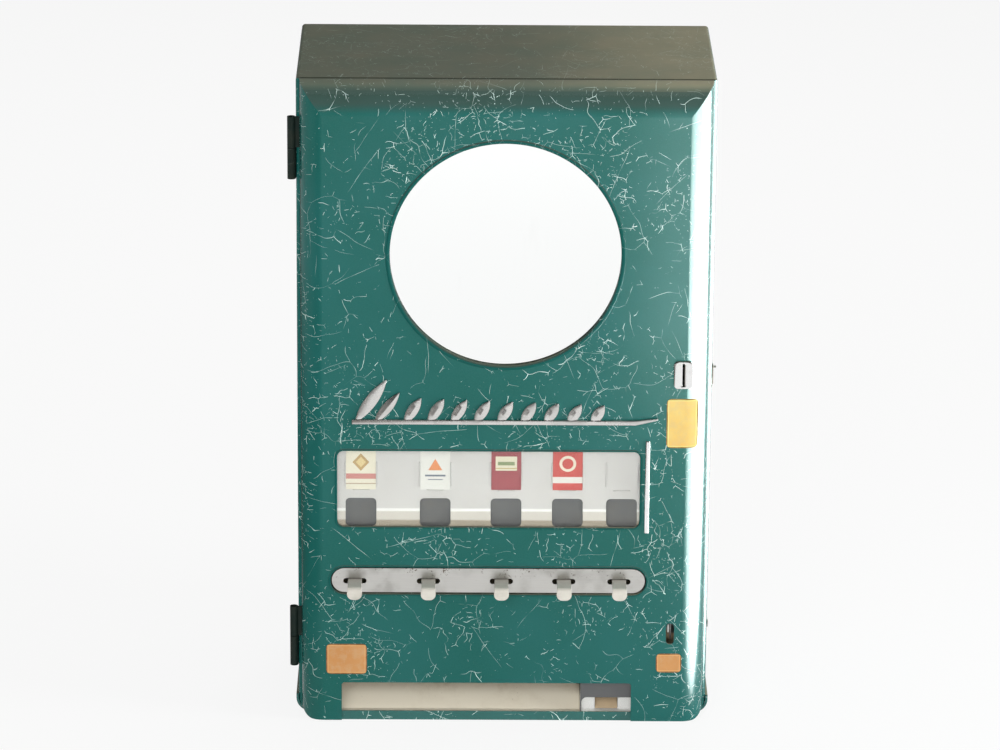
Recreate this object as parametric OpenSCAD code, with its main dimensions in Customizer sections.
// Pull-lever cigarette vending machine, five columns, hinged front door.
// Z is up, the front looks along -Y, and the origin is the centre of the base's footprint.
// The door, five pull levers with their pack slides, the interlock bar, the coin return
// lever with its rod, the cash box, the lock core and the keyhole cover all move.

/* [Cabinet] */
// Width of the case
case_w = 444; // [420:1:520]
// Height of the case
case_h = 716; // [700:1:800]
// Depth from the door's face to the back of the case
case_d = 254; // [250:1:300]
// Sheet thickness of the case
case_t = 1.6; // [1:0.1:2.5]
// Inward flange round the front of the case
case_flange = 12; // [8:0.5:14]
// Bend radius at the upright front edges and the top side edges of the case
case_bend = 4; // [2:0.5:8]
// Bend radius at the top front edge of the case
case_edge = 1.7; // [1.6:0.1:4]
// Radius of the case's bottom corners, seen from the front
bottom_r = 13; // [12:1:30]
// Sheet thickness of the base pan
base_t = 2.4; // [1.5:0.1:3]
// Gap between the base pan's walls and the case
base_gap = 0.3; // [0.2:0.1:0.6]
// Height of the base pan's side walls
base_h = 20; // [18:0.5:40]
// Height of the base pan's front lip
lip_h = 10.2; // [8:0.2:14]
// Distance of the lip behind the door's face
lip_set = 4.6; // [3:0.1:8]
// Width of the bolt pattern in the back wall
mount_w = 300; // [200:1:380]
// Height of the bolt pattern in the back wall
mount_h = 520; // [300:1:600]
// Height of the bolt pattern's lower pair of holes
mount_z = 98; // [60:1:120]
// Diameter of the bolt holes in the back wall
mount_hole = 8; // [5:0.5:12]

/* [Door] */
// Depth of the door pan
door_d = 28; // [26:0.5:40]
// Sheet thickness of the door
door_t = 1.6; // [1:0.1:2]
// How far the door's edge lies inside the case's edge
door_inset = 4; // [3:0.5:8]
// Radius of the roll along the door's sides
roll_r = 24; // [18:0.5:25]
// Height of the flatter roll along the door's top
roll_h = 34; // [30:0.5:38]
// Angle at which the top roll turns from its flat arc into its tight one
roll_a = 40; // [30:1:50]
// Gap between the door and the case
seam_gap = 1.8; // [1.6:0.1:3]
// Clearance under the door
door_lift = 1; // [0.5:0.1:2]
// Inward flange round the back of the door
door_flange = 11; // [8:0.5:12]

/* [Mirror] */
// Height of the round opening's lowest point
mirror_low = 407; // [400:1:440]
// Distance from the round opening's highest point to the top of the door
mirror_drop = 63; // [56:1:100]
// How far the mirror runs behind the door round the opening
mirror_lap = 5; // [4:0.5:8]
// Thickness of the mirror
mirror_t = 4; // [3:0.5:5]
// Thickness of the backing board
backing_t = 3; // [2:0.5:4]
// Depth of the rolled edge round the openings
edge_roll = 3; // [2:0.5:4]
// Wall of the rolled edge
edge_wall = 1.6; // [1:0.1:2]

/* [Window] */
// Left edge of the window
window_x0 = -179; // [-182:1:-170]
// Right edge of the window
window_x1 = 146; // [140:1:147]
// Bottom edge of the window
window_z0 = 225; // [220:1:228]
// Top edge of the window
window_z1 = 311; // [305:1:313]
// Corner radius of the window
window_r = 7.5; // [4:0.5:10]
// Thickness of the glass
glass_t = 3; // [2:0.5:4]
// How far the glass runs behind the door round the window
glass_lap = 6; // [4:0.5:7]
// Distance of the label panel behind the door's face
panel_set = 10; // [9:0.5:12]
// Sheet thickness of the label panel
panel_t = 1.2; // [0.8:0.1:1.5]
// Height of the fold where the label panel turns forward
fold_z = 240; // [236:1:246]
// Height at which the forward slope ends
ledge_z = 231; // [229:1:234]
// Width of a viewing port
port_w = 33; // [28:1:36]
// Height of the ports' tops
port_z = 254.5; // [250:0.5:258]
// Corner radius of a port
port_r = 4.8; // [3:0.2:8]
// Width of a label card
card_w = 32; // [26:1:36]
// Height of a label card
card_h = 47; // [40:1:47]
// Height of the cards' bottom edges
card_z = 264.5; // [262:0.5:268]
// Thickness of a label card
card_t = 0.6; // [0.4:0.1:0.8]

/* [Columns] */
// Middle of each column's label and port
label_x = [-153.5, -73.7, 2.5, 68.5, 126.8];
// Middle of each pull lever
lever_x = [-160, -80.7, -2, 65.4, 125];
// Middle of each partition between the columns
partition_x = [-114, -36.5, 35.5, 97.5];
// Middle of the left chassis plate
chassis_x0 = -193; // [-196:0.5:-190]
// Middle of the right chassis plate
chassis_x1 = 156.5; // [154:0.5:158]
// Sheet thickness of the chassis and partitions
plate_t = 1.2; // [0.8:0.1:1.6]
// Front of the columns, measured from the middle of the case
column_front = -50; // [-52:1:-46]
// Depth of a column
column_d = 72; // [70:1:74]
// Distance of the columns' tops below the top of the case
column_drop = 26; // [20:1:116]
// Height of a pack, which sets the step between the slide and its blade
pack_h = 22.5; // [20:0.5:24]
// Width between the guides of a pack's stack
pack_w = 57.6; // [56:0.1:57.6]

/* [Levers] */
// Height of the lever plate's middle
lever_z = 163; // [161:0.5:165]
// Left end of the lever plate
lever_plate_x0 = -185; // [-187:0.5:-182]
// Right end of the lever plate
lever_plate_x1 = 153; // [151:0.5:153]
// Height of the lever plate
lever_plate_h = 27.6; // [26:0.2:29]
// Gap between the lever plate and the door's opening
lever_gap = 1.5; // [1:0.1:2]
// Width of the slots
lever_slot_w = 25; // [22:0.5:28]
// Height of the slots
lever_slot_h = 6; // [5:0.2:7]
// Width of a lever's strip
lever_w = 15; // [12:0.5:16]
// Thickness of a lever
lever_t = 2; // [1.5:0.1:2.4]
// How far a lever stands out of its plate at rest
lever_out = 27; // [22:0.5:30]
// Height of a lever's bent tip
lever_tip_h = 13.8; // [12:0.2:14]
// Travel of a lever
lever_travel = 64; // [56:1:64]

/* [Coins] */
// Left edge of the coin entry plate
entry_x = 180.2; // [178:0.2:181]
// Width of the coin entry plate
entry_w = 20.5; // [19:0.5:21]
// Height of the coin entry plate
entry_h = 31.4; // [30:0.2:34]
// Bottom of the coin entry plate
entry_z = 382.7; // [380:0.1:386]
// Length of the coin slot
coin_slot_h = 25; // [24.6:0.1:26]
// Width of the coin slot
coin_slot_w = 2; // [1.8:0.1:2.6]
// Middle of the coin return slot
return_x = 181; // [179:0.5:183]
// Height of the coin return slot's middle
return_z = 103; // [100:0.5:106]
// Width of the coin return slot
return_w = 8.7; // [7:0.1:10]
// Height of the coin return slot
return_h = 24.3; // [20:0.1:28]

/* [Tray] */
// Left edge of the delivery opening
notch_x0 = -174.5; // [-176:0.5:-170]
// Right edge of the delivery opening
notch_x1 = 139.7; // [138:0.1:140]
// Height of the delivery opening
notch_z = 45; // [40:0.5:50]
// Left side of the coin cup
cup_x = 85; // [80:0.5:90]
// Height of the cup's opening
cup_open_z = 26.3; // [22:0.1:28]

/* [Fittings] */
// Length of a hinge
hinge_l = 68; // [50:1:80]
// Diameter of a hinge's barrel
hinge_d = 8.8; // [8:0.1:9.4]
// Diameter of the hinge pins
pin_d = 5; // [4:0.1:5.5]
// Distance of the upper hinge's middle below the top of the case
hinge_drop = 76; // [66:1:116]
// Height of the lower hinge's middle
hinge_z0 = 89; // [80:1:120]
// Height of the lock
lock_z = 380; // [375:1:382]
// Distance of the lock behind the front of the case
lock_set = 24; // [22:0.5:28]
// Diameter of the lock's escutcheon
escutcheon_d = 26; // [24:0.5:28]

/* [Hidden] */
$fn = 48;

// Clearance between pieces that move past each other
run_gap = 0.3;
// Overshoot of a cut past the face that it opens
over = 1;

face_y = -case_d / 2;
back_y = case_d / 2;
seam_y = face_y + door_d;
door_back_y = seam_y - seam_gap / 2;
case_front_y = seam_y + seam_gap / 2;
door_in_y = face_y + door_t;
case_x = case_w / 2;
door_x = case_x - door_inset;
door_top = case_h;
mirror_open = door_top - mirror_drop - mirror_low;
mirror_z = mirror_low + mirror_open / 2;
column_top = case_h - column_drop;
hinge_z1 = case_h - hinge_drop;
base_x = case_x + base_gap + base_t;
// radii of the two arcs of the door's top roll, from its depth and its height
roll_d = door_back_y - face_y;
roll_k = (1 - sin(roll_a)) / cos(roll_a);
roll_r1 = (roll_h - roll_d * roll_k) / (sin(roll_a) - (1 - cos(roll_a)) * roll_k);
roll_r2 = (roll_d - (1 - cos(roll_a)) * roll_r1) / cos(roll_a);
lip_y = face_y + lip_set;
tongue_x0 = notch_x0 - 6;
tongue_x1 = notch_x1 + 10;

// Box from its lowest corner to its highest
module block(a, b) {
    translate(a) cube(b - a);
}

// Rounded rectangle in a plane, from corner to corner
module round_rect(a, b, r) {
    translate([a[0] + r, a[1]]) square([b[0] - a[0] - 2 * r, b[1] - a[1]]);
    translate([a[0], a[1] + r]) square([b[0] - a[0], b[1] - a[1] - 2 * r]);
    for (x = [a[0] + r, b[0] - r], y = [a[1] + r, b[1] - r]) translate([x, y]) circle(r);
}

// Extrusion of an XZ drawing from y0 to y1
module along_y(y0, y1) {
    translate([0, y1, 0]) rotate([90, 0, 0]) linear_extrude(y1 - y0) children();
}

// Extrusion of a YZ drawing from x0 to x1
module along_x(x0, x1) {
    translate([x0, 0, 0]) rotate([90, 0, 90]) linear_extrude(x1 - x0) children();
}

// Cylinder along Y from y0 to y1
module rod_y(x, z, d, y0, y1) {
    translate([x, y1, z]) rotate([90, 0, 0]) cylinder(d = d, h = y1 - y0);
}

// Cylinder along X from x0 to x1
module rod_x(y, z, d, x0, x1) {
    translate([x0, y, z]) rotate([0, 90, 0]) cylinder(d = d, h = x1 - x0);
}

// Plan of a pan whose two front corners are rounded
module pan_plan(x, y0, y1, r) {
    translate([-x + r, y0]) square([2 * (x - r), y1 - y0]);
    translate([-x, y0 + r]) square([2 * x, y1 - y0 - r]);
    for (s = [-1, 1]) translate([s * (x - r), y0 + r]) circle(r, $fn = 96);
}

// Side view of a pan whose top front corner is rounded
module pan_side(y0, y1, z0, z1, r) {
    translate([y0, z0]) square([y1 - y0, z1 - z0 - r]);
    translate([y0 + r, z0]) square([y1 - y0 - r, z1 - z0]);
    translate([y0 + r, z1 - r]) circle(r, $fn = 96);
}

// Side view of the door: a flat arc off the face runs into a tight one at the top
module door_side(inset, y1, z0) {
    r1 = roll_r1 - inset;
    r2 = roll_r2 - inset;
    c1 = [face_y + roll_r1, door_top - roll_h];
    c2 = [c1[0] - (roll_r1 - roll_r2) * cos(roll_a), c1[1] + (roll_r1 - roll_r2) * sin(roll_a)];
    intersection() {
        translate([face_y + inset, z0]) square([y1 - face_y - inset, door_top - inset - z0]);
        union() {
            translate([face_y + inset, z0]) square([case_d, c1[1] - z0]);
            intersection() {
                translate(c1) circle(r1, $fn = 192);
                polygon([c1, c1 + [-2 * roll_r1, 0], c1 + 2 * roll_r1 * [-cos(roll_a), sin(roll_a)]]);
            }
            translate(c2) circle(r2, $fn = 144);
            translate([c2[0], z0]) square([case_d, door_top - inset - z0]);
        }
    }
}

// Front view of a box with its own radii at the bottom and the top
module pan_front(x, z0, z1, r0, r1) {
    translate([-x, z0 + r0]) square([2 * x, z1 - z0 - r0 - r1]);
    translate([-x + r0, z0]) square([2 * (x - r0), 2 * r0]);
    translate([-x + r1, z1 - 2 * r1]) square([2 * (x - r1), 2 * r1]);
    for (s = [-1, 1]) {
        translate([s * (x - r0), z0 + r0]) circle(r0, $fn = 96);
        translate([s * (x - r1), z1 - r1]) circle(r1);
    }
}

// CASE

// Block of the case with its bent edges, drawn in by the sheet thickness for its hollow
module case_solid(y1, inset) {
    y0 = case_front_y + inset;
    z1 = case_h - inset;
    intersection() {
        linear_extrude(case_h + over) pan_plan(case_x - inset, y0, y1, case_bend - inset);
        along_x(-case_x, case_x) pan_side(y0, y1, 0, z1, case_edge - (inset > 0 ? case_edge - 0.1 : 0));
        along_y(case_front_y, y1)
            pan_front(case_x - inset, base_t + inset, z1, bottom_r - inset, case_bend - inset);
    }
}

// The case's sheet, wrapped round the sides and the top, with its back and front flanges
module cabinet_shell() {
    color([0.16, 0.42, 0.38]) difference() {
        case_solid(back_y, 0);
        case_solid(back_y - case_t, case_t);
        // door opening inside the front flange
        block([-case_x + case_flange, case_front_y - over, base_t - over],
            [case_x - case_flange, case_front_y + case_t + over, case_h - case_flange]);
        // opening in the floor, which the base pan closes
        block([chassis_x0 - 6, case_front_y - over, base_t - over],
            [case_x - bottom_r - 2, back_y - case_flange, base_t + case_t + over]);
        for (x = [-mount_w / 2, mount_w / 2], z = [mount_z, mount_z + mount_h])
            rod_y(x, z, mount_hole, back_y - case_t - over, back_y + over);
        lock_bore();
        rod_x(brace_y, brace_z, rivet_d + 0.4, case_x - case_t - over, case_x + over);
    }
}

// Shallow pan that the case stands in, with a tongue and lip under the door
module base_pan() {
    color([0.16, 0.40, 0.37]) {
        difference() {
            along_y(case_front_y, back_y)
                intersection() {
                    pan_front(base_x, 0, case_h, bottom_r + base_t, case_bend);
                    translate([-base_x, 0]) square([2 * base_x, base_h]);
                }
            along_y(case_front_y - over, back_y + over)
                pan_front(case_x + base_gap, base_t, case_h, bottom_r, case_bend);
        }
        block([tongue_x0, lip_y, 0], [tongue_x1, case_front_y, base_t]);
        block([tongue_x0, lip_y, 0], [tongue_x1, lip_y + case_t, lip_h]);
    }
}

// CHASSIS AND COLUMNS

apron_y = face_y + panel_set + 5;
apron_z0 = 140;
apron_z1 = 262;
rail_h = 3.7;
rail_lap = 3.2;
// the rails are narrow where a pack drops between them
drop_lap = 1.1;
tab_z = lever_z - 1;
slide_top = tab_z;
slide_z = slide_top - lever_t;
rail_top = slide_z - run_gap;
blade_top = slide_top + pack_h + lever_t;
column_back_y = column_front + column_d;
rear_y = column_back_y + lever_travel + 6;
column_z = blade_top + 1.5;
bar_y = column_back_y + 40;
bar_w = 6;
bar_h = 3;
bar_up = 3;
// gap between the pins and the blades when the bar is up
pin_up = 0.5;
pin_hole = 10;
bar_drop = 4;
chassis_edges = [chassis_x0, chassis_x1];
column_edges = [chassis_x0, partition_x[0], partition_x[1], partition_x[2], partition_x[3], chassis_x1];
chute_hole_z0 = 6;
chute_hole_z1 = 100;
slide_front_y = apron_y + plate_t + 2.8 + lever_travel;
side_t = 0.8;

// Two upright plates that carry the apron, the rails and the columns
module chassis_sides() {
    color([0.66, 0.67, 0.65]) {
        for (i = [0, 1])
            difference() {
                along_x(chassis_edges[i] - plate_t / 2, chassis_edges[i] + plate_t / 2) chassis_outline();
                // slot that guides the end of the interlock bar
                block([chassis_edges[i] - over, bar_y - bar_w / 2 - run_gap,
                       blade_top + bar_up - bar_drop - run_gap],
                    [chassis_edges[i] + over, bar_y + bar_w / 2 + run_gap,
                     blade_top + bar_up + bar_h + run_gap]);
                if (i == 1)
                    block([chassis_x1 - over, chute_y0 - run_gap, chute_hole_z0],
                        [chassis_x1 + over, chute_y1 + run_gap, chute_hole_z1]);
            }
        for (i = [0, 1])
            block([chassis_edges[i] - plate_t / 2 - (i == 0 ? 5 : 0), apron_y + 20, base_t],
                [chassis_edges[i] + plate_t / 2 + (i == 0 ? 0 : 3), rear_y, base_t + plate_t]);
    }
}

module chassis_outline() {
    polygon([[apron_y + plate_t, base_t], [rear_y, base_t], [rear_y, 240],
        [column_back_y + 4, 262], [column_back_y + 4, column_top], [column_front - 4, column_top],
        [column_front - 4, apron_z1 + 20], [apron_y + plate_t, apron_z1]]);
}

// Dark plate across the front of the mechanism, seen through the ports
module front_apron() {
    color([0.40, 0.41, 0.40]) difference() {
        block([chassis_x0 - 4, apron_y, apron_z0], [chassis_x1 + 4, apron_y + plate_t, apron_z1]);
        along_y(apron_y - over, apron_y + plate_t + over)
            round_rect([lever_plate_x0 + 5, lever_z - lever_plate_h / 2 + 3],
                [lever_plate_x1 - 5, lever_z + lever_plate_h / 2 - 3], 6);
    }
}

// Rails under the edges of the slides, with the cross bars that join them
module rail(i, lap, y0, y1) {
    left = i == 0 ? chassis_x0 + plate_t / 2 : column_edges[i] - plate_t / 2 - lap;
    right = i == 5 ? chassis_x1 - plate_t / 2 : column_edges[i] + plate_t / 2 + lap;
    block([left, y0, rail_top - rail_h], [right + (i == 0 ? lap - drop_lap : 0), y1, rail_top]);
}

module slide_rails() {
    rail_y0 = apron_y + plate_t;
    color([0.60, 0.61, 0.60]) {
        for (i = [0:5]) {
            rail(i, rail_lap, rail_y0, column_front - 2);
            rail(i, drop_lap, column_front - 2, column_back_y + 2);
            rail(i, rail_lap, column_back_y + 2, rear_y);
        }
        block([chassis_x0 + plate_t / 2, rear_y - 2, rail_top - 10],
            [chassis_x1 - plate_t / 2, rear_y, blade_top + bar_up]);
    }
}

// Upright walls between the columns, and the guides that narrow the wide columns
module column_partitions() {
    color([0.68, 0.69, 0.67]) {
        for (x = partition_x)
            block([x - plate_t / 2, column_front, rail_top], [x + plate_t / 2, column_back_y, column_top]);
        for (i = [0:3], s = [-1, 1]) {
            x = label_x[i] + s * (pack_w + plate_t) / 2;
            edge = s < 0 ? column_edges[i] + plate_t / 2 : column_edges[i + 1] - plate_t / 2;
            if (abs(edge - x) > 1)
                block([x - plate_t / 2, column_front, column_z],
                    [x + plate_t / 2, column_back_y, column_top]);
        }
    }
}

// Sheet behind the columns, which ends above the blades
module column_back() {
    color([0.70, 0.71, 0.69])
        block([chassis_x0 + plate_t / 2, column_back_y, column_z],
            [chassis_x1 - plate_t / 2, column_back_y + plate_t, column_top]);
}

// Strips along the front edges of the columns, which leave each stack in sight
strip_w = 9;
finger_w = 5;
module column_front_strips() {
    y0 = column_front - plate_t;
    color([0.70, 0.71, 0.69]) {
        for (i = [0:4], s = [-1, 1]) {
            edge = s < 0 ? column_edges[i] + plate_t / 2 : column_edges[i + 1] - plate_t / 2;
            guide = max(abs(edge - label_x[i]) - pack_w / 2, 0);
            inner = edge - s * (guide + strip_w);
            block([min(edge, inner), y0, column_z], [max(edge, inner), column_front, column_top]);
            // finger that holds back the lowest pack
            tip = inner + s * finger_w;
            block([min(tip, inner), y0, slide_top + run_gap], [max(tip, inner), column_front, column_z]);
        }
        for (z = [column_z + 60, column_top - 20])
            block([chassis_x0 + plate_t / 2, y0, z], [chassis_x1 - plate_t / 2, column_front, z + 20]);
    }
}

// DELIVERY

tray_z = lip_h - 1.2;
chute_bend_y = lip_y + 10.4;
chute_rise = 0.6;
chute_top_y = rear_y - 6;
chute_top_z = tray_z + (chute_top_y - chute_bend_y) * chute_rise;
chute_side_y = lip_y + 62.4;
chute_foot_y = lip_y + 50.4;

// Tray floor and the slope that packs slide down, with a turned-up left end
module delivery_chute() {
    x0 = chassis_x0 + plate_t / 2;
    color([0.84, 0.80, 0.70]) {
        along_x(x0, cup_x - run_gap)
            polygon([[lip_y + case_t, tray_z - plate_t], [chute_bend_y, tray_z - plate_t],
                [chute_top_y, chute_top_z - plate_t], [chute_top_y, chute_top_z],
                [chute_bend_y, tray_z], [lip_y + case_t, tray_z]]);
        block([x0, lip_y + case_t, tray_z], [x0 + plate_t, chute_side_y, notch_z + 12]);
        // feet on the base pan
        for (x = [x0 + 40, cup_x - 60])
            block([x, chute_foot_y, base_t], [x + 20, chute_foot_y + 2,
                tray_z - plate_t + 0.3 + (chute_foot_y + 1 - chute_bend_y) * chute_rise]);
    }
}

// Sloping plate that sends packs from the right-hand columns to the tray
deflect_z = tray_z + 3 + (column_back_y - chute_bend_y) * chute_rise;
deflect_top = slide_z - rail_h - 2;
module pack_deflector() {
    color([0.72, 0.70, 0.63])
        along_y(apron_y + 12, column_back_y + 2)
            polygon([[cup_x, deflect_z], [chassis_x1 - plate_t / 2, deflect_top - 2],
                [chassis_x1 - plate_t / 2, deflect_top], [cup_x, deflect_z + 2]]);
}

// COINS

cup_x1 = notch_x1 + 6;
cup_y0 = lip_y + case_t;
cup_y1 = cup_y0 + 27;
cup_wall = 1.2;
mouth_x0 = 101;
mouth_x1 = 126;
mouth_z1 = 25;
cup_deep = 10;
foot_z = tray_z + 10.3;
mouth_top = foot_z + 27;
ramp_z = foot_z + 2.7;
chute_y0 = cup_y1;
chute_y1 = cup_y1 + 7.4;
coin_gap = 5;
chute_wall = (chute_y1 - chute_y0 - coin_gap) / 2;
coin_run = 27;
return_chute_x1 = 196;
mech_z0 = 255;
mech_z1 = 375;
mech_x0 = 163;
mech_x1 = 197;

// Grey housing in the right of the delivery opening, with its arched mouth
module coin_cup() {
    color([0.40, 0.41, 0.40]) difference() {
        block([cup_x, cup_y0, base_t], [cup_x1, cup_y1, notch_z + 3]);
        along_y(cup_y0 - over, cup_y0 + cup_deep)
            intersection() {
                round_rect([cup_x + cup_wall, -10], [cup_x1 - cup_wall, cup_open_z], 6);
                translate([cup_x, tray_z]) square([cup_x1 - cup_x, cup_open_z]);
            }
        block([cup_x + cup_wall, cup_y0 + cup_wall, cup_open_z + cup_wall],
            [cup_x1 - cup_wall, cup_y1 - cup_wall, notch_z + 3 - cup_wall]);
        // room for the ramp behind the pocket, its way through, and the mouth of the chute
        block([cup_x + cup_wall, cup_y0 + cup_deep + cup_wall, tray_z],
            [cup_x1 - cup_wall, cup_y1 - cup_wall, cup_open_z + 2 * cup_wall]);
        block([mouth_x0, cup_y0 + cup_deep - over, tray_z],
            [mouth_x1, cup_y0 + cup_deep + cup_wall + over, mouth_z1]);
        block([mouth_x0, cup_y1 - cup_wall - over, foot_z - 1.3], [mouth_x1, cup_y1 + over, mouth_top]);
    }
}

// Flat chute that brings refused coins down to the cup
module return_chute_outline(wall) {
    polygon([[return_chute_x1 - coin_run - 3 + wall, mech_z0 + (wall > 0 ? over : 0)],
        [return_chute_x1 - coin_run - 3 + wall, foot_z + 87 + wall],
        [mouth_x0 - 2 + wall, mouth_top + 1.5], [mouth_x0 - 2 + wall, foot_z + wall],
        [mouth_x1 + 8 - wall, foot_z + wall], [return_chute_x1 - wall, foot_z + 67 + wall],
        [return_chute_x1 - wall, mech_z0 + (wall > 0 ? over : 0)]]);
}

module coin_return_chute() {
    color([0.76, 0.66, 0.46]) difference() {
        along_y(chute_y0 + chute_wall, chute_y1) return_chute_outline(0);
        along_y(chute_y0 + chute_wall - over, chute_y1 - chute_wall)
            return_chute_outline(chute_wall + 0.3);
    }
}

// Flat cover that closes the chute's front, with the mouth and the ramp down into the cup
module return_chute_cover() {
    y0 = cup_y0 + cup_deep + cup_wall + 0.2;
    color([0.76, 0.66, 0.46]) {
        difference() {
            along_y(chute_y0, chute_y0 + chute_wall) return_chute_outline(0);
            block([mouth_x0, chute_y0 - over, ramp_z - 1.2],
                [mouth_x1, chute_y0 + chute_wall + over, mouth_top]);
        }
        along_x(mouth_x0 + 0.3, mouth_x1 - 0.3)
            polygon([[y0, tray_z + 0.2], [chute_y0, ramp_z - 1.4], [chute_y0 + chute_wall, ramp_z - 1.4],
                [chute_y0 + chute_wall, ramp_z], [chute_y0, ramp_z], [y0, tray_z + 1.4]]);
    }
}

// Square tube that drops accepted coins into the cash box
cash_chute_y = -60;
cash_x0 = 164;
cash_x1 = 198;
cash_z0 = base_t + 4;
cash_z1 = 38;
cash_y0 = -72;
cash_y1 = 80;
module cash_chute() {
    color([0.70, 0.71, 0.69]) difference() {
        block([168, cash_chute_y, cash_z1 + 6], [192, cash_chute_y + 16, mech_z0]);
        block([169.2, cash_chute_y + 1.2, cash_z1 + 5], [190.8, cash_chute_y + 14.8, mech_z0 + over]);
    }
}

// Coin mechanism between two cover plates, with its hopper at the top
mech_y0 = chute_y0 + 1;
mech_y1 = -30;
module coin_mechanism() {
    color([0.55, 0.56, 0.56]) {
        difference() {
            block([mech_x0, mech_y0, mech_z0], [mech_x1, mech_y1, mech_z1]);
            // hopper throat and the passages out of the bottom
            block([entry_x + entry_w / 2 - 2.5, mech_y0 + 3, mech_z1 - 40],
                [entry_x + entry_w / 2 + 2.5, mech_y0 + 33, mech_z1 + over]);
            block([170, chute_y0 + chute_wall, mech_z0 - over],
                [192, chute_y1 - chute_wall, mech_z0 + 12]);
            block([170, cash_chute_y + 2, mech_z0 - over], [190, cash_chute_y + 14, mech_z0 + 12]);
        }
        // lug that guides the top of the return rod
        difference() {
            block([rod_x_mid - 4, case_front_y - 1, mech_z0], [rod_x_mid + 4, mech_y0, mech_z0 + 14]);
            translate([rod_x_mid, rod_y_mid, mech_z0 - over]) cylinder(d = rod_d + 0.6, h = 12);
        }
        // cheek plates that fix it to the chassis
        block([chassis_x1 + plate_t / 2, mech_y0 + 8, mech_z0 + 10], [mech_x0, mech_y0 + 28, mech_z0 + 30]);
        block([chassis_x1 + plate_t / 2, mech_y0 + 8, mech_z0 - 15],
            [chassis_x1 + plate_t / 2 + 2, mech_y0 + 28, mech_z0 + 10]);
    }
}

// Angle runners on the base pan for the cash box
module cash_box_runners() {
    color([0.66, 0.67, 0.65])
        for (x = [cash_x0 - 3, cash_x1 + run_gap]) {
            inner = x < cash_x0 ? x + 1.2 : x;
            block([inner, cash_y0 - 6, base_t], [inner + 1.5, cash_y1 + 2, base_t + 14]);
            block([x < cash_x0 ? inner : inner - 3, cash_y0 - 6, base_t],
                [x < cash_x0 ? inner + 5 : inner + 1.5, cash_y1 + 2, cash_z0 - run_gap]);
        }
}

// Open box that catches the coins, pulled out forwards
module cash_box() {
    color([0.72, 0.73, 0.72]) {
        difference() {
            block([cash_x0, cash_y0, cash_z0], [cash_x1, cash_y1, cash_z1]);
            block([cash_x0 + 1.2, cash_y0 + 1.2, cash_z0 + 1.2],
                [cash_x1 - 1.2, cash_y1 - 1.2, cash_z1 + over]);
        }
        // bent finger grip on the front
        block([cash_x0 + 8, cash_y0 - 5, cash_z1 - 12], [cash_x1 - 8, cash_y0, cash_z1 - 10.5]);
        block([cash_x0 + 8, cash_y0 - 5, cash_z1 - 18], [cash_x1 - 8, cash_y0 - 3.5, cash_z1 - 12]);
    }
}

// Blade in the coin return slot; its tail lifts the rod when the front is pressed down
blade_x = return_x - return_w / 2 + 1.6;
blade_w = 1.6;
pivot_y = door_back_y - 8.5;
pivot_z = return_z + 1;
pivot_d = 3;
rod_d = 3;
rod_x_mid = blade_x + blade_w / 2;
rod_y_mid = chute_y0 - 3;
tail_z = pivot_z + 3;
module coin_return_lever() {
    color([0.80, 0.81, 0.80]) difference() {
        union() {
            along_x(blade_x, blade_x + blade_w)
                polygon([[face_y + 2.2, return_z + 1], [face_y + 2.2, return_z + 10],
                    [pivot_y, pivot_z + 5], [rod_y_mid + 1.5, tail_z], [rod_y_mid + 1.5, tail_z - 5],
                    [pivot_y, pivot_z - 5]]);
            rod_x(pivot_y, pivot_z, 10, blade_x, blade_x + blade_w);
        }
        rod_x(pivot_y, pivot_z, pivot_d + 0.6, blade_x - over, blade_x + blade_w + over);
    }
}

// Bracket on the chute with the lever's pivot pin
module coin_return_bracket() {
    x1 = rod_x_mid + rod_d / 2 + 0.6;
    color([0.62, 0.63, 0.62]) {
        rod_x(pivot_y, pivot_z, pivot_d, blade_x - 1.3, x1 + 1.5);
        rod_x(pivot_y, pivot_z, pivot_d + 3, blade_x - 1.3, blade_x - run_gap);
        rod_x(pivot_y, pivot_z, pivot_d + 3, blade_x + blade_w + run_gap, x1);
        block([x1, pivot_y - 5, pivot_z - 12], [x1 + 1.5, chute_y0, pivot_z + 12]);
        block([x1, chute_y0 - 1.2, pivot_z - 12], [x1 + 10, chute_y0, pivot_z + 12]);
    }
}

module return_rod() {
    color([0.74, 0.75, 0.74])
        translate([rod_x_mid, rod_y_mid, tail_z + 0.5])
            cylinder(d = rod_d, h = mech_z0 + 6 - tail_z - 0.5);
}

// LEVERS AND SLIDES

plate_front_y = face_y + lever_gap;
tab_y0 = plate_front_y - lever_out;
tab_y1 = column_front - 4;

// Drawn steel plate with the five lever slots
module stadium(x0, x1, z, h) {
    r = h / 2;
    translate([x0 + r, z - r]) square([x1 - x0 - h, h]);
    for (x = [x0 + r, x1 - r]) translate([x, z]) circle(r, $fn = 96);
}

module lever_plate() {
    color([0.78, 0.78, 0.77]) difference() {
        along_y(plate_front_y, apron_y) stadium(lever_plate_x0, lever_plate_x1, lever_z, lever_plate_h);
        along_y(plate_front_y + case_t, apron_y + over)
            stadium(lever_plate_x0 + case_t, lever_plate_x1 - case_t, lever_z, lever_plate_h - 2 * case_t);
        for (x = lever_x)
            along_y(plate_front_y - over, plate_front_y + case_t + over)
                stadium(x - lever_slot_w / 2, x + lever_slot_w / 2, lever_z - 0.7, lever_slot_h);
    }
}

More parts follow.
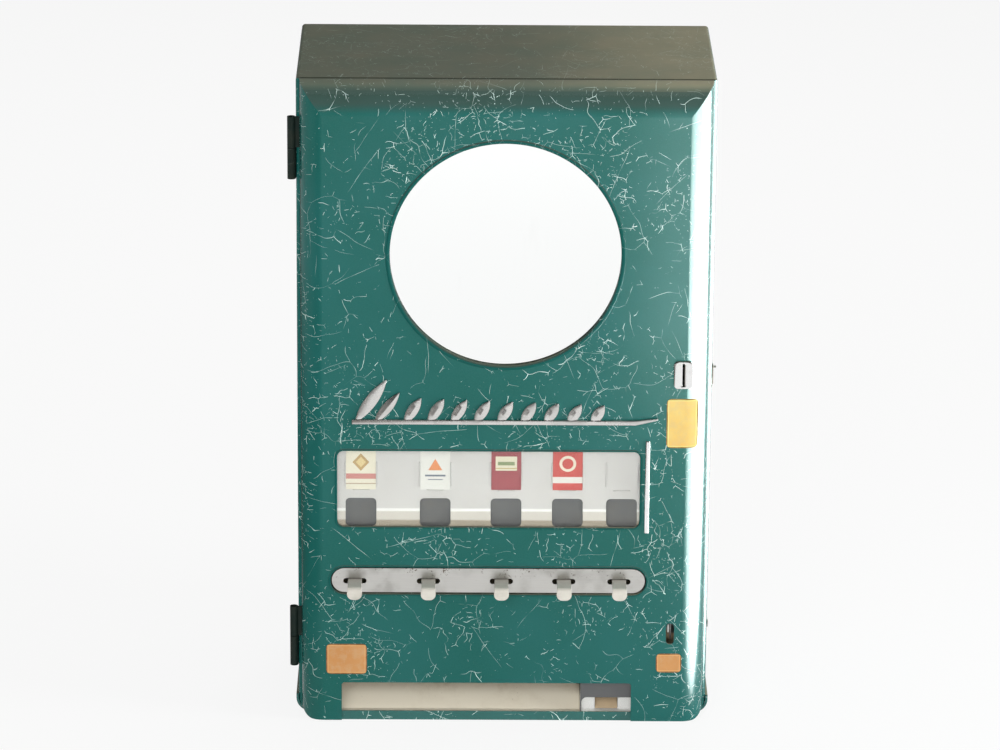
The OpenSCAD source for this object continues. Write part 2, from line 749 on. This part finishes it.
// Flat lever with a bent, rounded tip
module pull_lever(i) {
    x = lever_x[i];
    tip_w = lever_w + 1;
    color([0.80, 0.79, 0.76]) {
        block([x - lever_w / 2, tab_y0, tab_z], [x + lever_w / 2, tab_y1, tab_z + lever_t]);
        intersection() {
            block([x - tip_w / 2, tab_y0, tab_z + lever_t - lever_tip_h],
                [x + tip_w / 2, tab_y0 + lever_t, tab_z + lever_t]);
            rod_y(x, tab_z + lever_t - lever_tip_h + tip_w * 0.58, tip_w * 1.16,
                tab_y0 - over, tab_y0 + lever_t + over);
        }
    }
}

// Slide that holds the lowest pack, with a blade that holds up the rest
module pack_slide(i) {
    x0 = column_edges[i] + plate_t / 2 + run_gap;
    x1 = column_edges[i + 1] - plate_t / 2 - run_gap;
    mid_y = column_back_y - 14;
    end_y = column_back_y + 24;
    color([0.62, 0.63, 0.62]) difference() {
        union() {
            block([x0, slide_front_y, slide_z], [x1, column_back_y - 0.5, slide_top]);
            block([lever_x[i] - lever_w / 2, tab_y1 - 12, slide_z],
                [lever_x[i] + lever_w / 2, slide_front_y, slide_top]);
            block([x0, column_back_y + 1, blade_top - lever_t],
                [x1, column_back_y + lever_travel + 1, blade_top]);
            for (x = [x0, x1 - side_t])
                block([x, mid_y, slide_z], [x + side_t, end_y, blade_top]);
        }
        // hole for the interlock pin
        translate([label_x[i], bar_y, blade_top - lever_t - over])
            cylinder(d = pin_hole, h = lever_t + 2 * over);
    }
}

// Bar that rises to free the levers and drops to lock them
module interlock_bar() {
    color([0.50, 0.51, 0.51])
        block([chassis_x0 - 4, bar_y - bar_w / 2, blade_top + bar_up],
            [chassis_x1 + 4, bar_y + bar_w / 2, blade_top + bar_up + bar_h]);
}

// Pins welded under the bar, which drop into the holes of the blades
module interlock_pins() {
    color([0.62, 0.62, 0.61])
        for (x = label_x)
            translate([x, bar_y, blade_top + pin_up]) cylinder(d = pin_hole - 5.4, h = bar_up - pin_up);
}

// DOOR

lever_open_x0 = lever_plate_x0 - lever_gap;
lever_open_x1 = lever_plate_x1 + lever_gap;
lever_open_h = lever_plate_h + 2 * lever_gap;
entry_x_mid = entry_x + entry_w / 2;
entry_z_mid = entry_z + entry_h / 2;
stud_x = [-150, 0, 140];
stud_z = 345.5;
stud_d = 3;

// Block of the door between its three views, drawn in by the sheet thickness for its hollow
module door_solid(y1, inset) {
    z0 = door_lift - over;
    r = bottom_r - inset;
    intersection() {
        translate([0, 0, z0]) linear_extrude(door_top)
            pan_plan(door_x - inset, face_y + inset, y1, roll_r - inset);
        along_x(-door_x - over, door_x + over) door_side(inset, y1, z0);
        along_y(face_y - over, y1)
            union() {
                pan_front(door_x - inset, door_lift + inset, door_top + over, r, 0.5);
                if (inset > 0)
                    translate([-door_x + bottom_r, z0]) square([2 * (door_x - bottom_r), bottom_r]);
            }
    }
}

// Front shell of the door: rolled at the sides and the top, open at the bottom
module door_panel() {
    color([0.17, 0.45, 0.41]) {
        difference() {
            door_solid(door_back_y, 0);
            door_solid(door_back_y - door_t, door_t);
            // opening inside the back flange
            block([-door_x + door_flange, door_back_y - door_t - over, door_lift - over],
                [door_x - door_flange, door_back_y + over, door_top - door_flange]);
            rod_y(0, mirror_z, mirror_open, face_y - over, door_in_y + over);
            along_y(face_y - over, door_in_y + over) {
                round_rect([window_x0, window_z0], [window_x1, window_z1], window_r);
                stadium(lever_open_x0, lever_open_x1, lever_z, lever_open_h);
                round_rect([entry_x_mid - 4, entry_z + 2], [entry_x_mid + 4, entry_z + entry_h - 2], 3);
                translate([return_x - return_w / 2, return_z - return_h / 2 + return_w / 2])
                    square([return_w, return_h - return_w]);
                for (s = [-1, 1]) translate([return_x, return_z + s * (return_h - return_w) / 2])
                    circle(d = return_w);
                round_rect([notch_x0, -20], [notch_x1, notch_z], 3);
            }
            for (x = stud_x) rod_y(x, stud_z, stud_d + 0.4, face_y - over, door_in_y + over);
        }
        // rolled edges round the mirror and the lever plate
        difference() {
            rod_y(0, mirror_z, mirror_open + 2 * edge_wall, door_in_y, door_in_y + edge_roll);
            rod_y(0, mirror_z, mirror_open, door_in_y - over, door_in_y + edge_roll + over);
        }
        difference() {
            along_y(door_in_y, door_in_y + edge_roll)
                stadium(lever_open_x0 - edge_wall, lever_open_x1 + edge_wall, lever_z,
                    lever_open_h + 2 * edge_wall);
            along_y(door_in_y - over, door_in_y + edge_roll + over)
                stadium(lever_open_x0, lever_open_x1, lever_z, lever_open_h);
        }
    }
}

mirror_y = door_in_y + edge_roll;
mirror_r = mirror_open / 2 + mirror_lap;
module mirror() {
    color([0.93, 0.95, 0.96]) rod_y(0, mirror_z, 2 * mirror_r, mirror_y, mirror_y + mirror_t);
}

module mirror_backing() {
    color([0.50, 0.40, 0.28])
        rod_y(0, mirror_z, 2 * mirror_r, mirror_y + mirror_t, mirror_y + mirror_t + backing_t);
}

// Four bent clips with their screws, welded studs to the door
clip_w = 14;
module mirror_clips() {
    y1 = mirror_y + mirror_t + backing_t;
    color([0.72, 0.73, 0.72])
        for (a = [45:90:315])
            translate([0, 0, mirror_z]) rotate([0, a, 0]) {
                block([mirror_r + 1.5, door_in_y, -clip_w / 2], [mirror_r + 3, y1 + 1.5, clip_w / 2]);
                block([mirror_r - 9, y1, -clip_w / 2], [mirror_r + 3, y1 + 1.5, clip_w / 2]);
                block([mirror_r + 1.5, door_in_y, -clip_w / 2],
                    [mirror_r + 15, door_in_y + 1.5, clip_w / 2]);
                rod_y(mirror_r + 9, 0, 6, door_in_y + 1.5, door_in_y + 4);
            }
}

// Glass, gasket and label panel
glass_y1 = door_in_y + glass_t;
panel_y = face_y + panel_set;
panel_x0 = window_x0 - glass_lap;
panel_x1 = window_x1 + glass_lap;
panel_top = window_z1 + glass_lap + 3;
ledge_y = glass_y1 + run_gap;
panel_foot = window_z0 - glass_lap - 3;
lug = 10;
module window_glass() {
    color([0.80, 0.88, 0.86, 0.35])
        block([window_x0 - glass_lap, door_in_y, window_z0 - glass_lap],
            [window_x1 + glass_lap, glass_y1, window_z1 + glass_lap]);
}

// Rubber strip that presses the glass against the door, at the top and the two ends
module glass_gasket() {
    w = glass_lap - 1;
    z1 = window_z1 + glass_lap;
    color([0.12, 0.12, 0.12]) difference() {
        block([panel_x0, glass_y1, fold_z + 1], [panel_x1, panel_y, z1]);
        block([panel_x0 + w, glass_y1 - over, fold_z], [panel_x1 - w, panel_y + over, z1 - w]);
    }
}

module panel_profile() {
    t = panel_t;
    polygon([[panel_y, fold_z], [panel_y, panel_top], [door_in_y, panel_top],
        [door_in_y, panel_top + lug], [door_in_y + t, panel_top + lug], [door_in_y + t, panel_top + t],
        [panel_y + t, panel_top + t], [panel_y + t, fold_z], [ledge_y + t, ledge_z],
        [ledge_y + t, panel_foot - t], [door_in_y + t, panel_foot - t],
        [door_in_y + t, panel_foot - lug], [door_in_y, panel_foot - lug], [door_in_y, panel_foot],
        [ledge_y, panel_foot], [ledge_y, ledge_z]]);
}

// Folded sheet with the ports and the lanced tabs that hold the cards
module label_panel() {
    tab = 0.8;
    color([0.83, 0.82, 0.80]) {
        difference() {
            along_x(panel_x0, panel_x1) panel_profile();
            for (x = label_x)
                along_y(door_in_y - over, panel_y + panel_t + over)
                    round_rect([x - port_w / 2, window_z0 - 1], [x + port_w / 2, port_z], port_r);
        }
        for (x = label_x) {
            for (s = [-1, 1])
                block([x + s * (card_w / 2 + 0.8) - 0.6, panel_y - card_t - tab, card_z + 4],
                    [x + s * (card_w / 2 + 0.8) + 0.6, panel_y + panel_t / 2, card_z + 31]);
            block([x - 9, panel_y - card_t - tab, card_z - 1.4],
                [x + 9, panel_y + panel_t / 2, card_z - 0.2]);
        }
    }
}

// Printed cards for the first four columns; the fifth holder is empty
module label_cards() {
    colors = [[0.93, 0.90, 0.78], [0.95, 0.95, 0.92], [0.60, 0.10, 0.18], [0.85, 0.20, 0.16]];
    for (i = [0:3])
        color(colors[i])
            block([label_x[i] - card_w / 2, panel_y - card_t, card_z],
                [label_x[i] + card_w / 2, panel_y, card_z + card_h]);
}

// Pan-head screws through the lugs of the label panel
module panel_screws() {
    color([0.75, 0.75, 0.74])
        for (x = [panel_x0 + 12, (panel_x0 + panel_x1) / 2, panel_x1 - 12],
            z = [panel_foot - lug / 2 - 0.6, panel_top + lug / 2 + 0.6])
            rod_y(x, z, 6, door_in_y + panel_t, door_in_y + panel_t + 2.2);
}

// Cast ornament: leaning leaves in a row on a long bar
emblem_x0 = -163;
emblem_x1 = 164;
emblem_z = 342;
emblem_t = 3;
bar_z = 5.4;
leaf_n = 9;
module leaf(length, width) {
    // two arcs that meet in points at both ends
    r = (length * length / 4 + width * width / 4) / width;
    intersection() {
        translate([r - width / 2, length / 2]) circle(r, $fn = 96);
        translate([width / 2 - r, length / 2]) circle(r, $fn = 96);
    }
}

module emblem() {
    color([0.80, 0.81, 0.80]) {
        along_y(face_y - emblem_t, face_y) {
            translate([emblem_x0, emblem_z]) square([emblem_x1 - emblem_x0 - 24, bar_z]);
            translate([emblem_x1 - 24, emblem_z])
                polygon([[0, 0], [24, 5.5], [24, 8], [0, bar_z]]);
            translate([emblem_x0 + 3, emblem_z + 1]) rotate(-35) leaf(60, 13);
            translate([emblem_x0 + 24, emblem_z + 1]) rotate(-38) leaf(44, 11);
            for (i = [0:leaf_n - 1])
                translate([emblem_x0 + 56 + i * 25, emblem_z + 1]) rotate(-32) leaf(34 - i * 1.1, 11.5);
        }
        for (x = stud_x) rod_y(x, stud_z, stud_d, face_y, door_in_y + 5);
    }
}

module trim_strip() {
    color([0.90, 0.91, 0.92])
        along_y(face_y - 2, face_y)
            round_rect([window_x1 + 5.2, window_z0 - 6], [window_x1 + 10, window_z1 + 13], 1.2);
}

// Polished plate round the coin slot
module coin_entry_plate() {
    color([0.85, 0.86, 0.86]) difference() {
        union() {
            along_y(face_y - 1.5, face_y)
                round_rect([entry_x, entry_z], [entry_x + entry_w, entry_z + entry_h], 4.8);
            along_y(face_y, door_in_y)
                round_rect([entry_x_mid - 3.7, entry_z + 2.3],
                    [entry_x_mid + 3.7, entry_z + entry_h - 2.3], 2.7);
        }
        block([entry_x_mid - coin_slot_w / 2, face_y - 3, entry_z_mid - coin_slot_h / 2],
            [entry_x_mid + coin_slot_w / 2, door_in_y + over, entry_z_mid + coin_slot_h / 2]);
    }
}

// Guide that carries a coin from the slot back to the mechanism
module coin_entry_funnel() {
    y1 = door_back_y - 2;
    color([0.70, 0.71, 0.69]) difference() {
        block([entry_x_mid - 6, door_in_y, entry_z - 2], [entry_x_mid + 3.4, y1, entry_z + entry_h + 2]);
        block([entry_x_mid - 2, door_in_y - over, entry_z_mid - coin_run / 2],
            [entry_x_mid + 2, y1 + over, entry_z_mid + coin_run / 2]);
    }
}

// Thin label on the door's surface, which follows the roll
module skin_plan(extra) {
    pan_plan(door_x + extra, face_y - extra, door_back_y, roll_r + extra);
}

module skin_label(a, b, r) {
    intersection() {
        translate([0, 0, a[1] - over]) linear_extrude(b[1] - a[1] + 2 * over)
            difference() {
                skin_plan(0.4);
                skin_plan(0.05);
            }
        along_y(face_y - over, face_y + roll_r / 2) round_rect(a, b, r);
    }
}

module price_label() {
    color([0.86, 0.66, 0.25])
        skin_label([entry_x - 6.8, entry_z - 66.5], [entry_x + entry_w + 6.3, entry_z - 11.4], 5);
}

module notice_label() {
    color([0.86, 0.60, 0.38])
        skin_label([notch_x0 - 16.7, notch_z + 10], [notch_x0 + 27.3, notch_z + 44.7], 5);
}

module return_label() {
    color([0.86, 0.60, 0.38])
        skin_label([return_x - 14.6, notch_z + 13.2], [return_x + 12.8, notch_z + 35], 5);
}

// HINGES

hinge_x = -case_x - run_gap - hinge_d / 2;
hinge_mid = [hinge_z0, hinge_z1];
knuckle = (hinge_l - 0.6) / 2;
leaf_t = 1.2;
module knuckle_bore(z, gap) {
    translate([hinge_x, seam_y, z - over]) cylinder(d = pin_d + 2 * gap, h = knuckle + 2 * over);
}

// Upper knuckles and the leaves that lie on the door's back flange
module hinge_leaves_door() {
    color([0.13, 0.20, 0.18])
        for (m = hinge_mid) {
            z = m + 0.3;
            difference() {
                union() {
                    translate([hinge_x, seam_y, z]) cylinder(d = hinge_d, h = knuckle);
                    block([hinge_x, door_back_y, z],
                        [-door_x + door_flange, door_back_y + leaf_t, z + knuckle]);
                }
                knuckle_bore(z, run_gap);
            }
        }
}

// Lower knuckles and the leaves on the side of the case
module hinge_leaves_case() {
    color([0.13, 0.20, 0.18])
        for (m = hinge_mid) {
            z = m - 0.3 - knuckle;
            difference() {
                union() {
                    translate([hinge_x, seam_y, z]) cylinder(d = hinge_d, h = knuckle);
                    block([-case_x - leaf_t - 0.3, seam_y, z], [-case_x, seam_y + 30, z + knuckle]);
                }
                knuckle_bore(z, 0.1);
            }
        }
}

module hinge_pins() {
    color([0.35, 0.38, 0.37])
        for (m = hinge_mid)
            translate([hinge_x, seam_y, m - hinge_l / 2 + 1.5]) cylinder(d = pin_d, h = hinge_l - 3);
}

// LOCK

lock_y = case_front_y + lock_set;
lock_in = case_x - case_t - 17;
lock_d = 18;
plug_d = 10;
lock_face = case_x + 1.2;
cam_t = 2.5;
cam_x1 = lock_in - run_gap;
cam_x0 = cam_x1 - cam_t;
keeper_dy = -19;
keeper_dz = -20;
keeper_r = sqrt(keeper_dy * keeper_dy + keeper_dz * keeper_dz);
keeper_pin = 4;
cover_pivot_z = lock_z + 9;

module lock_bore() {
    rod_x(lock_y, lock_z, lock_d + 0.4, case_x - case_t - over, case_x + over);
}

module lock_body() {
    color([0.75, 0.74, 0.70]) difference() {
        rod_x(lock_y, lock_z, lock_d, lock_in, lock_face);
        rod_x(lock_y, lock_z, plug_d + 0.6, lock_in - over, lock_face + over);
    }
}

// Round plate on the side of the case, with the cover's pivot pin
module lock_escutcheon() {
    color([0.72, 0.72, 0.70]) {
        difference() {
            rod_x(lock_y, lock_z, escutcheon_d, case_x, lock_face);
            rod_x(lock_y, lock_z, lock_d + 0.2, case_x - over, lock_face + over);
        }
        rod_x(lock_y, cover_pivot_z + 1.5, 2.4, lock_face, lock_face + 4.4);
    }
}

module lock_plug() {
    color([0.78, 0.70, 0.45]) difference() {
        union() {
            rod_x(lock_y, lock_z, plug_d, lock_in, lock_face);
            rod_x(lock_y, lock_z, 6, cam_x0, lock_in);
            rod_x(lock_y, lock_z, 9, cam_x0 - 2, cam_x0);
        }
        block([lock_face - 6, lock_y - 0.7, lock_z - 3.5], [lock_face + over, lock_y + 0.7, lock_z + 3.5]);
    }
}

// Cam whose arc sweeps in front of the keeper's pin after a quarter turn; it rests clear
cam_span = 50;
module lock_cam() {
    inner = keeper_r + keeper_pin / 2 + 1;
    outer = inner + 5;
    start = 180 + atan2(-keeper_dz, -keeper_dy) - 90 - cam_span / 2;
    color([0.70, 0.71, 0.70]) difference() {
        translate([cam_x0, lock_y, lock_z]) rotate([90, 0, 90]) {
            cylinder(d = 15, h = cam_t);
            rotate([0, 0, start]) translate([0, -5, 0]) cube([outer - 1, 10, cam_t]);
            rotate([0, 0, start])
                rotate_extrude(angle = cam_span, $fn = 96)
                    translate([inner, 0]) square([outer - inner, cam_t]);
        }
        rod_x(lock_y, lock_z, 6.2, cam_x0 - over, cam_x1 + over);
    }
}

// Drop cover over the keyhole
module keyhole_cover() {
    x0 = lock_face + run_gap;
    color([0.74, 0.74, 0.72]) difference() {
        union() {
            rod_x(lock_y, lock_z, 17, x0, x0 + 1);
            rod_x(lock_y, cover_pivot_z + 1.5, 7, x0, x0 + 1);
        }
        rod_x(lock_y, cover_pivot_z + 1.5, 3, x0 - over, x0 + 1 + over);
    }
}

// Bracket on the door's flange with the pin that the cam catches
module lock_keeper() {
    x0 = door_x - door_flange;
    z = lock_z + keeper_dz;
    y = lock_y + keeper_dy;
    color([0.70, 0.71, 0.70]) {
        block([x0 - 1.6, door_back_y - door_t - 1.6, z - 10], [x0 + 9, door_back_y - door_t, z + 10]);
        block([x0 - 1.6, door_back_y - door_t - 1.6, z - 10], [x0, y + 5, z + 10]);
        rod_x(y, z, keeper_pin, cam_x0 - 1.5, x0 - 1.6);
    }
}

// Angle that stiffens the front flange, with its rivet through the side of the case
brace_z = 100;
brace_y = case_front_y + 12;
rivet_d = 4;
module flange_brace() {
    x1 = case_x - case_t;
    color([0.68, 0.69, 0.68]) {
        rod_x(brace_y, brace_z, rivet_d, x1 - 1, case_x + 1);
        rod_x(brace_y, brace_z, 8, case_x, case_x + 1.8);
        translate([x1, case_front_y + case_t, brace_z - 9])
            linear_extrude(18)
                polygon([[case_t - case_flange, 0], [-2.6, 0], [0, 2.6], [0, 24], [-1.5, 24],
                    [-1.5, 3.2], [-3.2, 1.5], [case_t - case_flange, 1.5]]);
    }
}

// Rubber buffers on the front flange of the case
module door_bumpers() {
    color([0.10, 0.10, 0.10])
        for (z = [hinge_z0 - 29, door_top - 216, door_top - 36])
            rod_y(case_x - 8, z, 5, case_front_y - seam_gap + run_gap, case_front_y);
}

cabinet_shell();
base_pan();
chassis_sides();
front_apron();
slide_rails();
column_partitions();
column_back();
column_front_strips();
delivery_chute();
pack_deflector();
coin_cup();
coin_return_chute();
return_chute_cover();
cash_chute();
coin_mechanism();
cash_box_runners();
coin_return_bracket();
lever_plate();
hinge_leaves_case();
hinge_pins();
lock_body();
lock_escutcheon();
flange_brace();
door_bumpers();
door_panel();
mirror();
mirror_backing();
mirror_clips();
window_glass();
glass_gasket();
label_panel();
label_cards();
emblem();
trim_strip();
coin_entry_plate();
coin_entry_funnel();
price_label();
notice_label();
return_label();
hinge_leaves_door();
lock_keeper();
panel_screws();
pull_lever(0);  // pull_lever_1
pull_lever(1);  // pull_lever_2
pull_lever(2);  // pull_lever_3
pull_lever(3);  // pull_lever_4
pull_lever(4);  // pull_lever_5
pack_slide(0);  // pack_slide_1
pack_slide(1);  // pack_slide_2
pack_slide(2);  // pack_slide_3
pack_slide(3);  // pack_slide_4
pack_slide(4);  // pack_slide_5
interlock_bar();
interlock_pins();
coin_return_lever();
return_rod();
cash_box();
lock_plug();
lock_cam();
keyhole_cover();
